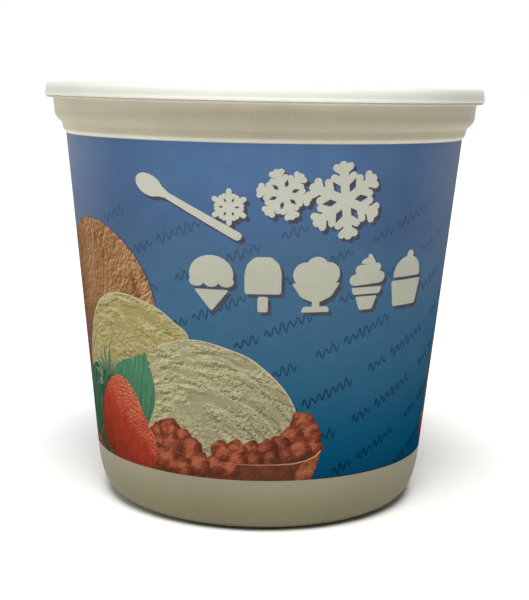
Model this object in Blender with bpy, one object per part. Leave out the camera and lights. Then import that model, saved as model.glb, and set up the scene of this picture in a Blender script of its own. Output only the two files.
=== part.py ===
"""A closed four-litre ice cream tub: a round, tapered plastic tub with its contents, a printed
label let into its wall, and a press-fit lid. Metres, +Z up. The origin is the centre of the foot
ring, on the surface that the tub stands on, and the middle of the print faces -Y.

Every piece is turned about the Z axis from an outline of (radius, height) points."""

import math

import bmesh
import bpy

SEGMENTS = 64
CLEARANCE = 0.0003  # left between neighbouring pieces
WALL = 0.0012

# Wall of the tub: a cone, given by its radius at both edges of the label
LABEL_LOW_Z, LABEL_LOW_R = 0.0245, 0.0764
LABEL_HIGH_Z, LABEL_HIGH_R = 0.1666, 0.0904
LABEL_THICKNESS = 0.0004

# Foot: the wall turns in to a flat ring along a superellipse, and the ring surrounds a recess
CORNER_HEIGHT, CORNER_WIDTH, CORNER_POWER = 0.0238, 0.0120, 2.75
FOOT_RING_WIDTH = 0.0040
RECESS_DEPTH, RECESS_SLOPE = 0.0024, 0.0016

# Collar: a narrow band above the label, then a shoulder that starts at this many degrees of its
# curve and turns up into a wide band
BAND_LOW_Z, BAND_LOW_R = 0.1676, 0.0915
BAND_HIGH_Z, BAND_HIGH_R = 0.1716, 0.0924
SHOULDER_R, SHOULDER_TOP_Z, SHOULDER_START = 0.0926, 0.1765, 50
COLLAR_LOW_R, COLLAR_HIGH_R = 0.0956, 0.0962

# Lid: a panel sunk inside a raised rim. Its skirt reaches down over the tub's flange and ends
# in a bead, which stands proud outside and grips under the flange inside.
LID_TOP_Z, LID_RADIUS = 0.1889, 0.1000
SKIRT_TOP_R, SKIRT_LOW_R, SKIRT_INNER_R = 0.0993, 0.0997, 0.0983
RIM_INNER_R = 0.0932
RIM_OUTER_FILLET, RIM_INNER_FILLET = 0.0018, 0.0010
BEAD_Z, BEAD_RADIUS, BEAD_INNER_REACH = 0.1839, 0.0007, 0.0015
PANEL_DEPTH, PANEL_FILLET = 0.0035, 0.0010
STEP_R, STEP_RUN, STEP_HEIGHT = 0.0850, 0.0008, 0.0006
GATE_R, GATE_RUN, GATE_DEPTH = 0.0045, 0.0006, 0.0005
CHANNEL_FILLET, PLUG_FILLET = 0.0006, 0.0016

# Edge of the tub: a thin lip that shows under the lid, a neck, and a flange that fills the
# channel under the lid's rim up to the clearance
LIP_LOW_Z, LIP_HIGH_Z, LIP_R = 0.1822, 0.1829, 0.0992
NECK_R = 0.0972
FLANGE_LOW_Z, FLANGE_FILLET = 0.1850, 0.0006

# Colour, roughness and metallic value of each material
FINISHES = {
    "tub_plastic": ((0.62, 0.58, 0.47), 0.42, 0.0),
    "lid_plastic": ((0.86, 0.86, 0.82), 0.36, 0.0),
    "label_print": ((0.05, 0.14, 0.31), 0.38, 0.0),
}
SHARP_ANGLE = math.radians(35)


def wall_radius(z):
    """Outer radius of the tapered wall at a height."""
    taper = (LABEL_HIGH_R - LABEL_LOW_R) / (LABEL_HIGH_Z - LABEL_LOW_Z)
    return LABEL_LOW_R + taper * (z - LABEL_LOW_Z)


def arc(centre, radii, start, end, steps):
    """Points on an ellipse's arc, both ends included. 0 degrees is outwards and 90 is up."""
    turns = [math.radians(start + (end - start) * i / steps) for i in range(steps + 1)]
    return [(centre[0] + radii[0] * math.cos(t), centre[1] + radii[1] * math.sin(t)) for t in turns]


def fillet(centre_r, centre_z, radius, start, end, steps=2):
    return arc((centre_r, centre_z), (radius, radius), start, end, steps)


def foot():
    """From the axis along the recess and the foot ring, and up round the corner to the wall."""
    ring_outer = wall_radius(0) - CORNER_WIDTH
    ring_inner = ring_outer - FOOT_RING_WIDTH
    points = [(0, RECESS_DEPTH), (ring_inner - RECESS_SLOPE, RECESS_DEPTH), (ring_inner, 0)]
    steps = 9
    for i in range(steps + 1):
        turn = 0.5 * math.pi * (1 - i / steps)
        z = CORNER_HEIGHT * (1 - math.sin(turn) ** (2 / CORNER_POWER))
        inset = CORNER_WIDTH * (1 - abs(math.cos(turn)) ** (2 / CORNER_POWER))
        points.append((wall_radius(z) - inset, z))
    return points


def label_seat():
    """The shallow groove round the wall that the label lies in."""
    depth = LABEL_THICKNESS + CLEARANCE
    low, high = LABEL_LOW_Z - CLEARANCE, LABEL_HIGH_Z + CLEARANCE
    return [
        (wall_radius(low), low),
        (wall_radius(low) - depth, low),
        (wall_radius(high) - depth, high),
        (wall_radius(high), high),
    ]


def collar():
    start = math.radians(SHOULDER_START)
    across = (COLLAR_LOW_R - SHOULDER_R) / (1 - math.cos(start))
    up = (SHOULDER_TOP_Z - BAND_HIGH_Z) / math.sin(start)
    points = [(BAND_LOW_R, BAND_LOW_Z), (BAND_HIGH_R, BAND_HIGH_Z)]
    points += arc((COLLAR_LOW_R - across, SHOULDER_TOP_Z), (across, up), -SHOULDER_START, 0, 5)
    return points


def lip():
    """The top of the wide band, the thin lip and the neck."""
    half = (LIP_HIGH_Z - LIP_LOW_Z) / 2
    points = [(COLLAR_HIGH_R, LIP_LOW_Z)]
    points += arc((LIP_R - half, LIP_LOW_Z + half), (half, half), -90, 90, 4)
    return points + [(NECK_R, LIP_HIGH_Z), (NECK_R, FLANGE_LOW_Z)]


def flange():
    """The rim, and the top of the contents under the lid's panel."""
    outer = SKIRT_INNER_R - CLEARANCE
    inner = RIM_INNER_R + WALL + CLEARANCE
    top = LID_TOP_Z - WALL - CLEARANCE
    contents_top = LID_TOP_Z - PANEL_DEPTH - WALL - CLEARANCE
    points = [(outer, FLANGE_LOW_Z)]
    points += fillet(outer - FLANGE_FILLET, top - FLANGE_FILLET, FLANGE_FILLET, 0, 90)
    points += fillet(inner + FLANGE_FILLET, top - FLANGE_FILLET, FLANGE_FILLET, 90, 180)
    return points + [(inner, contents_top), (0, contents_top)]


def lid_top():
    """From the axis over the gate mark, the panel and the rim, to the foot of the skirt."""
    panel_z = LID_TOP_Z - PANEL_DEPTH
    centre_z = panel_z + STEP_HEIGHT
    points = [(0, centre_z - GATE_DEPTH), (GATE_R, centre_z - GATE_DEPTH), (GATE_R + GATE_RUN, centre_z)]
    points += [(STEP_R - STEP_RUN, centre_z), (STEP_R, panel_z)]
    points += fillet(RIM_INNER_R - PANEL_FILLET, panel_z + PANEL_FILLET, PANEL_FILLET, -90, 0)
    rim_z = LID_TOP_Z - RIM_INNER_FILLET
    points += fillet(RIM_INNER_R + RIM_INNER_FILLET, rim_z, RIM_INNER_FILLET, 180, 90)
    rim_z = LID_TOP_Z - RIM_OUTER_FILLET
    points += fillet(SKIRT_TOP_R - RIM_OUTER_FILLET, rim_z, RIM_OUTER_FILLET, 90, 0, 3)
    return points


def lid_bead():
    """Round the lower edge of the skirt, from its outer face to its inner face."""
    centre = (LID_RADIUS - BEAD_RADIUS, BEAD_Z)
    leave_outer = math.degrees(math.acos((SKIRT_LOW_R - centre[0]) / BEAD_RADIUS))
    reach_inner = math.degrees(math.acos((SKIRT_INNER_R - centre[0]) / BEAD_INNER_REACH))
    points = arc(centre, (BEAD_RADIUS, BEAD_RADIUS), leave_outer, 0, 2)
    points += arc(centre, (BEAD_RADIUS, BEAD_RADIUS), 0, -90, 3)[1:]
    return points + arc(centre, (BEAD_INNER_REACH, BEAD_RADIUS), -90, reach_inner - 360, 4)[1:]


def lid_underside():
    """Up the inner face of the skirt, over the channel and down the plug to the axis."""
    channel_z = LID_TOP_Z - WALL
    plug_r = RIM_INNER_R + WALL
    plug_z = LID_TOP_Z - PANEL_DEPTH - WALL
    corner = CHANNEL_FILLET
    points = fillet(SKIRT_INNER_R - corner, channel_z - corner, corner, 0, 90)
    points += fillet(plug_r + corner, channel_z - corner, corner, 90, 180)
    points += fillet(plug_r - PLUG_FILLET, plug_z + PLUG_FILLET, PLUG_FILLET, 0, -90)
    return points + [(0, plug_z)]


def label_outline():
    low, high = LABEL_LOW_Z, LABEL_HIGH_Z
    return [
        (wall_radius(low), low),
        (wall_radius(high), high),
        (wall_radius(high) - LABEL_THICKNESS, high),
        (wall_radius(low) - LABEL_THICKNESS, low),
    ]


def material(name):
    colour, roughness, metallic = FINISHES[name]
    made = bpy.data.materials.new(name)
    made.use_nodes = True
    shader = made.node_tree.nodes["Principled BSDF"]
    shader.inputs["Base Color"].default_value = (*colour, 1)
    shader.inputs["Roughness"].default_value = roughness
    shader.inputs["Metallic"].default_value = metallic
    return made


def turned(name, outline, finish):
    """An object turned about Z. An outline that starts on the axis ends there too, and any other closes on itself."""
    mesh = bpy.data.meshes.new(name)
    shape = bmesh.new()
    rings = []
    for radius, z in outline:
        if radius == 0:
            rings.append([shape.verts.new((0, 0, z))] * SEGMENTS)
            continue
        turns = [2 * math.pi * i / SEGMENTS for i in range(SEGMENTS)]
        rings.append([shape.verts.new((radius * math.cos(t), radius * math.sin(t), z)) for t in turns])
    pairs = list(zip(rings, rings[1:]))
    if outline[0][0] > 0:
        pairs.append((rings[-1], rings[0]))
    for lower, upper in pairs:
        for i in range(SEGMENTS):
            j = (i + 1) % SEGMENTS
            corners = [lower[i], lower[j], upper[j], upper[i]]
            shape.faces.new(list(dict.fromkeys(corners)))
    bmesh.ops.recalc_face_normals(shape, faces=shape.faces)
    shape.to_mesh(mesh)
    shape.free()
    mesh.materials.append(material(finish))
    mesh.shade_smooth()
    mesh.set_sharp_from_angle(angle=SHARP_ANGLE)
    made = bpy.data.objects.new(name, mesh)
    bpy.context.collection.objects.link(made)
    return made


def main():
    for old in list(bpy.data.objects):
        bpy.data.objects.remove(old)
    turned("tub", foot() + label_seat() + collar() + lip() + flange(), "tub_plastic")
    turned("label", label_outline(), "label_print")
    turned("lid", lid_top() + lid_bead() + lid_underside(), "lid_plastic")


main()
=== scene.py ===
"""Looks of the closed ice cream tub: fine plastic for the tub and the lid, and the printed label
as one film whose picture is cut into fields, each with its own procedural ink.

Lengths of the solids are in metres. The picture is laid out in millimetres on the unrolled label:
x runs round the wall from the front, as measured at mid height, and z is the height above the foot."""

import math

import bpy
from mathutils import Matrix, Vector, noise
from mathutils.geometry import delaunay_2d_cdt


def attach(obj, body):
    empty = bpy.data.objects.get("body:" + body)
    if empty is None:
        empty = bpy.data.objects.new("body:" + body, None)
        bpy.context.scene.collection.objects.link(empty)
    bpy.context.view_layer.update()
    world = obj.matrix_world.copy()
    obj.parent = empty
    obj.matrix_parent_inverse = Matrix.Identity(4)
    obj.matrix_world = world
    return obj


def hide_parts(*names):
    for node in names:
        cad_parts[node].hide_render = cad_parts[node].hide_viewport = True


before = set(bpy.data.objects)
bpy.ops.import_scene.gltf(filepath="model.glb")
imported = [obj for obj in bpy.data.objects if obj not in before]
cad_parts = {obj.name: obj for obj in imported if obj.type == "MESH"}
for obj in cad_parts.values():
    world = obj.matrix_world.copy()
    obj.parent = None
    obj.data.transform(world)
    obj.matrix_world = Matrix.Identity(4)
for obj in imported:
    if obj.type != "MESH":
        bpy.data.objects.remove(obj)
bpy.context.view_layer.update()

MM = 0.001
TURN_STEPS = 256
SHARP_ANGLE = math.radians(35)

# Wall, foot and collar of the tub, as built, but for the lip, whose top is 0.25 mm higher
LABEL_LOW_Z, LABEL_LOW_R = 0.0245, 0.0764
LABEL_HIGH_Z, LABEL_HIGH_R = 0.1666, 0.0904
CORNER_HEIGHT, CORNER_WIDTH, CORNER_POWER = 0.0238, 0.0120, 2.75
FOOT_RING_WIDTH, RECESS_DEPTH, RECESS_SLOPE = 0.0040, 0.0024, 0.0016
BAND_LOW_Z, BAND_LOW_R = 0.1676, 0.0915
BAND_HIGH_Z, BAND_HIGH_R = 0.1716, 0.0924
SHOULDER_R, SHOULDER_TOP_Z, SHOULDER_START = 0.0926, 0.1765, 50
COLLAR_LOW_R, COLLAR_HIGH_R = 0.0956, 0.0962
LIP_LOW_Z, LIP_HIGH_Z, LIP_R = 0.1822, 0.18315, 0.0992
NECK_R = 0.0972
FLANGE_LOW_Z, FLANGE_FILLET = 0.1850, 0.0006
COLLAR_FILLET = 0.0003
EASE = 0.0001  # how far the small edges are softened

# Lid, as built
WALL, CLEARANCE = 0.0012, 0.0003
LID_TOP_Z, LID_RADIUS = 0.1889, 0.1000
SKIRT_TOP_R, SKIRT_LOW_R, SKIRT_INNER_R = 0.0993, 0.0997, 0.0983
RIM_INNER_R = 0.0932
RIM_OUTER_FILLET, RIM_INNER_FILLET = 0.0018, 0.0010
BEAD_Z, BEAD_RADIUS, BEAD_INNER_REACH = 0.1839, 0.0007, 0.0015
PANEL_DEPTH, PANEL_FILLET = 0.0035, 0.0010
STEP_R, STEP_RUN, STEP_HEIGHT = 0.0850, 0.0008, 0.0006
GATE_R, GATE_RUN, GATE_DEPTH = 0.0045, 0.0006, 0.0005
CHANNEL_FILLET, PLUG_FILLET = 0.0006, 0.0016

# Ivory of the tub at a few heights, with the height that the whole range spans. It is darker
# towards the foot, painted shade where the light falls off down the wall, and darker over the
# middle of the collar, painted shade under the lid's rim. It is lighter along the small step, and
# painted light along the lip offsets the shade under the lid's bead.
IVORY_SPAN = 0.2
IVORY_AND_PAINTED_SHADE = (
    (0, (123, 118, 92)), (0.010, (128, 123, 96)), (0.024, (143, 137, 116)), (0.10, (160, 153, 132)),
    (0.1664, (182, 175, 154)), (0.1667, (218, 216, 202)), (0.1679, (212, 210, 192)),
    (0.1686, (184, 177, 154)), (0.1755, (178, 171, 149)), (0.1825, (199, 192, 173)),
    (0.1828, (205, 199, 181)), (0.1830, (246, 243, 234)),
)

# White of the lid over the height of its rim, from 0 at the bead to 1 at the top, with painted
# light and shade: lightest at the bead against the shade under it, darker over the middle of the
# face, and lighter towards the top edge where the light from above falls.
RIM_LOW_Z, RIM_HIGH_Z = 0.1830, 0.1890
LID_WHITE_AND_SHADE = (
    (0, (252, 250, 244)), (0.10, (235, 233, 225)), (0.2, (217, 217, 207)), (0.35, (211, 212, 204)),
    (0.5, (212, 214, 207)), (0.63, (221, 224, 217)), (0.8, (226, 228, 222)), (1, (226, 228, 222)),
)

# Painted shade on the lid's rim and on the collar just under it, over the distance from the
# middle as a part of the lid's radius: both are painted a little lighter at the front and dimmer
# towards the flanks, where less light falls. The collar has a share of it.
FLANK_SHADE = (
    (0.2, (1.07, 1.08, 1.08)), (0.4, (1.01, 1.02, 1.02)), (0.55, (0.935, 0.94, 0.935)),
    (0.7, (0.83, 0.83, 0.82)), (0.8, (0.785, 0.785, 0.76)),
)
FLANK_SHADE_LOW_Z, FLANK_SHADE_FULL_Z, COLLAR_SHARE = 0.1780, 0.1800, 0.6

# Label film: it lies in a seat in the wall, and its ends meet at a seam behind. The picture is
# there twice, and each copy covers half a turn.
FILM, SEAT_DEPTH = 0.00012, 0.00016
SEAM_MM = 0.6
TILE_DEGREES = 180
TILE_START_DEGREES = -115
MID_RADIUS_MM = 83.7
TILE_MM = math.radians(TILE_DEGREES) * MID_RADIUS_MM
LEFT_MM = math.radians(TILE_START_DEGREES) * MID_RADIUS_MM
RIGHT_MM = LEFT_MM + 2 * TILE_MM - SEAM_MM
LOW_MM, HIGH_MM = LABEL_LOW_Z / MM, LABEL_HIGH_Z / MM

# Camera, sky and lamps. The sky's stops are brightness over the sine of the height, and the slope
# makes it brightest behind the tub and dim in front of it.
IMAGE_HEIGHT_PX = 600
FOCAL_PX = 1294.1
SENSOR = 36
CAMERA_BACK, CAMERA_HEIGHT = 0.60185, 0.19026
CAMERA_PITCH, CAMERA_ROLL, CAMERA_YAW = 0.16647, 0.01903, 0.00259
SKY = (0.12, 1), (0.5, 0.46)
SKY_LEVEL, SKY_SLOPE = 0.55, (-0.17, 0.45, 0)
SUN_STRENGTH, SUN_SPREAD, SUN_ELEVATION, SUN_TINT = 3.7, 32, 66, (1, 0.99, 0.96)
LEFT_PLACE, LEFT_AIM, LEFT_SIZE = (-1.40, 0.10, 0.55), (0, 0, 0.15), 0.8
LEFT_WATTS, LEFT_TINT = 4, (1, 0.99, 0.97)
FLOOR_HALF = 30


def colour(red, green, blue):
    """A display colour, 0 to 255, as the linear colour that a shader takes."""
    parts = [c / 255 for c in (red, green, blue)]
    return (*[c / 12.92 if c <= 0.04045 else ((c + 0.055) / 1.055) ** 2.4 for c in parts], 1)


def grey(level):
    return (level, level, level, 1)


def placed(name, data):
    made = bpy.data.objects.new(name, data)
    bpy.context.scene.collection.objects.link(made)
    return made


# --- Node trees


class Tree:
    """Short calls for the nodes of one node tree."""

    def __init__(self, owner):
        owner.use_nodes = True
        self.tree = owner.node_tree

    def put(self, socket, value):
        if isinstance(value, bpy.types.NodeSocket):
            self.tree.links.new(value, socket)
        else:
            socket.default_value = value

    def node(self, kind, inputs, output=0, **settings):
        made = self.tree.nodes.new("ShaderNode" + kind)
        for name, value in settings.items():
            setattr(made, name, value)
        for name, value in inputs.items():
            self.put(made.inputs[name], value)
        return made.outputs[output]

    def math(self, operation, first, second=0):
        return self.node("Math", {0: first, 1: second}, operation=operation)

    def vector(self, operation, first, second=(0, 0, 0), output="Vector"):
        return self.node("VectorMath", {0: first, 1: second}, output, operation=operation)

    def along(self, vector, axis):
        return self.node("SeparateXYZ", {"Vector": vector}, axis)

    def length(self, vector):
        return self.vector("LENGTH", vector, output="Value")

    def span(self, value, low, high):
        """0 at low and 1 at high, clamped."""
        return self.node("MapRange", {"Value": value, "From Min": low, "From Max": high})

    def noise(self, vector, scale, detail=3, roughness=0.5, distortion=0):
        values = {"Vector": vector, "Scale": scale, "Detail": detail, "Roughness": roughness}
        return self.node("TexNoise", {**values, "Distortion": distortion}, "Fac")

    def cells(self, vector, scale, randomness):
        values = {"Vector": vector, "Scale": scale, "Randomness": randomness}
        return self.node("TexVoronoi", values, "Distance")

    def ramp(self, factor, stops):
        made = self.tree.nodes.new("ShaderNodeValToRGB")
        elements = made.color_ramp.elements
        while len(elements) < len(stops):
            elements.new(0.5)
        for element, (place, tint) in zip(elements, stops):
            element.position, element.color = place, tint
        self.put(made.inputs["Fac"], factor)
        return made.outputs["Color"]

    def mix(self, factor, first, second, blend="MIX"):
        made = self.tree.nodes.new("ShaderNodeMix")
        made.data_type, made.blend_type = "RGBA", blend
        self.put(made.inputs["Factor"], factor)
        for socket, value in zip([s for s in made.inputs if s.type == "RGBA"], (first, second)):
            self.put(socket, value)
        return [s for s in made.outputs if s.type == "RGBA"][0]

    def times(self, first, second, factor=1):
        return self.mix(factor, first, second, "MULTIPLY")


class Finish(Tree):
    """One material, whose Principled shader the other nodes feed."""

    def __init__(self, name, **values):
        self.material = bpy.data.materials.new(name)
        super().__init__(self.material)
        self.shader = self.tree.nodes["Principled BSDF"]
        for socket, value in values.items():
            self.feed(socket.replace("_", " "), value)

    def feed(self, socket, value):
        self.put(self.shader.inputs[socket], value)

    def roughness(self, value, low, high):
        self.feed("Roughness", self.node("MapRange", {"Value": value, "To Min": low, "To Max": high}))

    def bump(self, height, distance, strength):
        values = {"Height": height, "Distance": distance, "Strength": strength}
        self.feed("Normal", self.node("Bump", values))

    def position(self):
        return self.node("TexCoord", {}, "Object")

    # Painted shade: darker towards the flanks and lighter at the front, over the distance from the middle.
    def flank_shade(self, place):
        side = self.span(self.math("ABSOLUTE", self.along(place, "X")), 0, LID_RADIUS)
        return self.ramp(side, [(part, (*tint, 1)) for part, tint in FLANK_SHADE])


# --- Camera and light


def make_camera():
    data = bpy.data.cameras.new("camera")
    data.sensor_width = SENSOR
    data.lens = FOCAL_PX / IMAGE_HEIGHT_PX * SENSOR
    data.clip_start, data.clip_end = 0.01, 100
    camera = placed("camera", data)
    turn = Matrix.Rotation(-CAMERA_YAW, 4, "Z") @ Matrix.Rotation(math.pi / 2 - CAMERA_PITCH, 4, "X")
    turn = turn @ Matrix.Rotation(CAMERA_ROLL, 4, "Z")
    camera.matrix_world = Matrix.Translation((0, -CAMERA_BACK, CAMERA_HEIGHT)) @ turn
    bpy.context.scene.camera = camera


def make_light(name, kind, place, aim, **settings):
    data = bpy.data.lights.new(name, kind)
    for setting, value in settings.items():
        setattr(data, setting, value)
    light = placed(name, data)
    light.location = place
    light.rotation_euler = (Vector(aim) - Vector(place)).to_track_quat("-Z", "Y").to_euler()


def make_sky():
    """The sky lights the tub, and behind the tub it shows as plain white."""
    world = bpy.data.worlds.new("studio")
    sky = Tree(world)
    place = sky.node("TexCoord", {}, "Generated")
    slope = sky.vector("DOT_PRODUCT", place, SKY_SLOPE, "Value")
    glow = sky.tree.nodes["Background"]
    stops = [(height, grey(level)) for height, level in SKY]
    sky.put(glow.inputs["Color"], sky.ramp(sky.along(place, "Z"), stops))
    sky.put(glow.inputs["Strength"], sky.math("ADD", slope, SKY_LEVEL))
    backdrop = sky.node("Background", {"Color": grey(1)})
    direct = sky.node("LightPath", {}, "Is Camera Ray")
    shown = sky.node("MixShader", {"Fac": direct, 1: glow.outputs["Background"], 2: backdrop})
    sky.put(sky.tree.nodes["World Output"].inputs["Surface"], shown)
    bpy.context.scene.world = world


def make_floor():
    mesh = bpy.data.meshes.new("floor")
    corners = [(x * FLOOR_HALF, y * FLOOR_HALF, 0) for x, y in ((-1, -1), (1, -1), (1, 1), (-1, 1))]
    mesh.from_pydata(corners, [], [(0, 1, 2, 3)])
    floor = placed("floor", mesh)
    paint = Finish("floor_paint", Roughness=0.9, Specular_IOR_Level=0.2)
    grain = paint.noise(paint.position(), scale=9, detail=4)
    paint.feed("Base Color", paint.ramp(grain, [(0.3, grey(0.86)), (0.7, grey(0.88))]))
    mesh.materials.append(paint.material)


def make_studio():
    bpy.context.scene.view_settings.view_transform = "Standard"
    make_sky()
    rise = math.radians(SUN_ELEVATION)
    make_light(
        "overhead", "SUN", (0, -math.cos(rise), math.sin(rise)), (0, 0, 0),
        energy=SUN_STRENGTH, angle=math.radians(SUN_SPREAD), color=SUN_TINT)
    make_light(
        "left_light", "AREA", LEFT_PLACE, LEFT_AIM,
        shape="DISK", size=LEFT_SIZE, energy=LEFT_WATTS, color=LEFT_TINT)
    make_floor()


# --- Turned plastic


def wall_radius(z):
    """Outer radius of the tapered wall at a height."""
    taper = (LABEL_HIGH_R - LABEL_LOW_R) / (LABEL_HIGH_Z - LABEL_LOW_Z)
    return LABEL_LOW_R + taper * (z - LABEL_LOW_Z)


def arc(centre, radii, start, end, steps):
    """Points on an ellipse's arc, both ends included. 0 degrees is outwards and 90 is up."""
    turns = [math.radians(start + (end - start) * i / steps) for i in range(steps + 1)]
    return [(centre[0] + radii[0] * math.cos(t), centre[1] + radii[1] * math.sin(t)) for t in turns]


def fillet(centre_r, centre_z, radius, start, end, steps=6):
    return arc((centre_r, centre_z), (radius, radius), start, end, steps)


def straight(start, end, steps):
    """Points after start, up to end."""
    return [tuple(a + (b - a) * i / steps for a, b in zip(start, end)) for i in range(1, steps + 1)]


def eased(t):
    """From 0 to 1, level at both ends."""
    return t * t * (3 - 2 * t)


def foot():
    """The recess, the ring round it, and the corner that turns up into the wall."""
    ring_outer = wall_radius(0) - CORNER_WIDTH
    ring_inner = ring_outer - FOOT_RING_WIDTH
    recess_r = ring_inner - RECESS_SLOPE
    points = [(0, RECESS_DEPTH), (recess_r - 4 * EASE, RECESS_DEPTH), (recess_r, RECESS_DEPTH - EASE)]
    points += [(ring_inner - EASE, EASE), (ring_inner + 3 * EASE, 0)]
    steps = 26
    for i in range(steps + 1):
        turn = 0.5 * math.pi * (1 - i / steps)
        z = CORNER_HEIGHT * (1 - math.sin(turn) ** (2 / CORNER_POWER))
        inset = CORNER_WIDTH * (1 - abs(math.cos(turn)) ** (2 / CORNER_POWER))
        points.append((wall_radius(z) - inset, z))
    return points


def label_seat():
    """The shallow groove round the wall that the label lies in."""
    low, high = (LABEL_LOW_R, LABEL_LOW_Z), (LABEL_HIGH_R, LABEL_HIGH_Z)
    inner_low, inner_high = ((radius - SEAT_DEPTH, z) for radius, z in (low, high))
    return [low, inner_low, *straight(inner_low, inner_high, 4), high]


def collar():
    """The small step over the label, the narrow band, the crease and the shoulder."""
    start = math.radians(SHOULDER_START)
    across = (COLLAR_LOW_R - SHOULDER_R) / (1 - math.cos(start))
    up = (SHOULDER_TOP_Z - BAND_HIGH_Z) / math.sin(start)
    step_r, step_z = wall_radius(LABEL_HIGH_Z) + EASE / 2, LABEL_HIGH_Z + EASE
    step_run, step_rise = BAND_LOW_R - step_r, BAND_LOW_Z + 4 * EASE - step_z
    points = [(step_r + step_run * eased(i / 8), step_z + step_rise * i / 8) for i in range(9)]
    points += straight(points[-1], (BAND_HIGH_R, BAND_HIGH_Z - 2 * EASE), 3)
    return points + arc((COLLAR_LOW_R - across, SHOULDER_TOP_Z), (across, up), -SHOULDER_START, 0, 14)


def lip():
    """The top of the wide band, the thin lip and the neck."""
    half = (LIP_HIGH_Z - LIP_LOW_Z) / 2
    top = LIP_LOW_Z - COLLAR_FILLET
    points = straight((COLLAR_LOW_R, SHOULDER_TOP_Z), (COLLAR_HIGH_R, top), 3)
    points += fillet(COLLAR_HIGH_R + COLLAR_FILLET, top, COLLAR_FILLET, 180, 90, 3)
    points += arc((LIP_R - half, LIP_LOW_Z + half), (half, half), -90, 90, 8)
    return points + [(NECK_R, LIP_HIGH_Z), (NECK_R, FLANGE_LOW_Z)]


def flange():
    """The rim, and the top of the contents under the lid's panel."""
    outer = SKIRT_INNER_R - CLEARANCE
    inner = RIM_INNER_R + WALL + CLEARANCE
    top = LID_TOP_Z - WALL - CLEARANCE
    contents_top = LID_TOP_Z - PANEL_DEPTH - WALL - CLEARANCE
    points = [(outer, FLANGE_LOW_Z)]
    points += fillet(outer - FLANGE_FILLET, top - FLANGE_FILLET, FLANGE_FILLET, 0, 90, 3)
    points += fillet(inner + FLANGE_FILLET, top - FLANGE_FILLET, FLANGE_FILLET, 90, 180, 3)
    return points + [(inner, contents_top), (0, contents_top)]


def soft_step(low, high, steps=6):
    """A rounded ramp between two levels, without its ends."""
    run, rise = high[0] - low[0], high[1] - low[1]
    parts = [i / steps for i in range(1, steps)]
    return [(low[0] + run * t, low[1] + rise * eased(t)) for t in parts]


def lid_top():
    """From the axis over the gate mark, the panel and the rim, to the foot of the skirt."""
    panel_z = LID_TOP_Z - PANEL_DEPTH
    centre_z = panel_z + STEP_HEIGHT
    gate = (GATE_R, centre_z - GATE_DEPTH), (GATE_R + GATE_RUN, centre_z)
    step = (STEP_R - STEP_RUN, centre_z), (STEP_R, panel_z)
    points = [(0, gate[0][1]), gate[0], *soft_step(*gate), gate[1]]
    points += straight(gate[1], step[0], 8) + soft_step(*step) + [step[1]]
    points += fillet(RIM_INNER_R - PANEL_FILLET, panel_z + PANEL_FILLET, PANEL_FILLET, -90, 0)
    inner = RIM_INNER_R + RIM_INNER_FILLET, LID_TOP_Z - RIM_INNER_FILLET
    outer = SKIRT_TOP_R - RIM_OUTER_FILLET, LID_TOP_Z - RIM_OUTER_FILLET
    points += fillet(*inner, RIM_INNER_FILLET, 180, 90)
    return points + fillet(*outer, RIM_OUTER_FILLET, 90, 0, 10)


def lid_bead():
    """Round the lower edge of the skirt, from its outer face to its inner face."""
    centre = (LID_RADIUS - BEAD_RADIUS, BEAD_Z)
    leave_outer = math.degrees(math.acos((SKIRT_LOW_R - centre[0]) / BEAD_RADIUS))
    reach_inner = math.degrees(math.acos((SKIRT_INNER_R - centre[0]) / BEAD_INNER_REACH))
    points = arc(centre, (BEAD_RADIUS, BEAD_RADIUS), leave_outer, 0, 4)
    points += arc(centre, (BEAD_RADIUS, BEAD_RADIUS), 0, -90, 8)[1:]
    return points + arc(centre, (BEAD_INNER_REACH, BEAD_RADIUS), -90, reach_inner - 360, 8)[1:]


def lid_underside():
    """Up the inner face of the skirt, over the channel and down the plug to the axis."""
    channel_z = LID_TOP_Z - WALL
    plug_r = RIM_INNER_R + WALL
    plug_z = LID_TOP_Z - PANEL_DEPTH - WALL
    corner = CHANNEL_FILLET
    points = fillet(SKIRT_INNER_R - corner, channel_z - corner, corner, 0, 90, 3)
    points += fillet(plug_r + corner, channel_z - corner, corner, 90, 180, 3)
    points += fillet(plug_r - PLUG_FILLET, plug_z + PLUG_FILLET, PLUG_FILLET, 0, -90, 4)
    return points + [(0, plug_z)]


def turned(name, outline, finish):
    """A closed shell turned about Z, from an outline that starts and ends on the axis."""
    turns = [2 * math.pi * i / TURN_STEPS for i in range(TURN_STEPS)]
    points, rings = [], []
    for radius, z in outline:
        around = turns if radius > 0 else [0]
        rings.append([len(points) + i for i in range(len(around))] * (TURN_STEPS // len(around)))
        points += [(radius * math.cos(t), radius * math.sin(t), z) for t in around]
    faces = []
    for lower, upper in zip(rings, rings[1:]):
        for i in range(TURN_STEPS):
            j = (i + 1) % TURN_STEPS
            faces.append(tuple(dict.fromkeys((lower[i], lower[j], upper[j], upper[i]))))
    mesh = bpy.data.meshes.new(name)
    mesh.from_pydata(points, [], faces)
    mesh.materials.append(finish.material)
    mesh.shade_smooth()
    mesh.set_sharp_from_angle(angle=SHARP_ANGLE)
    return placed(name, mesh)


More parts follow.
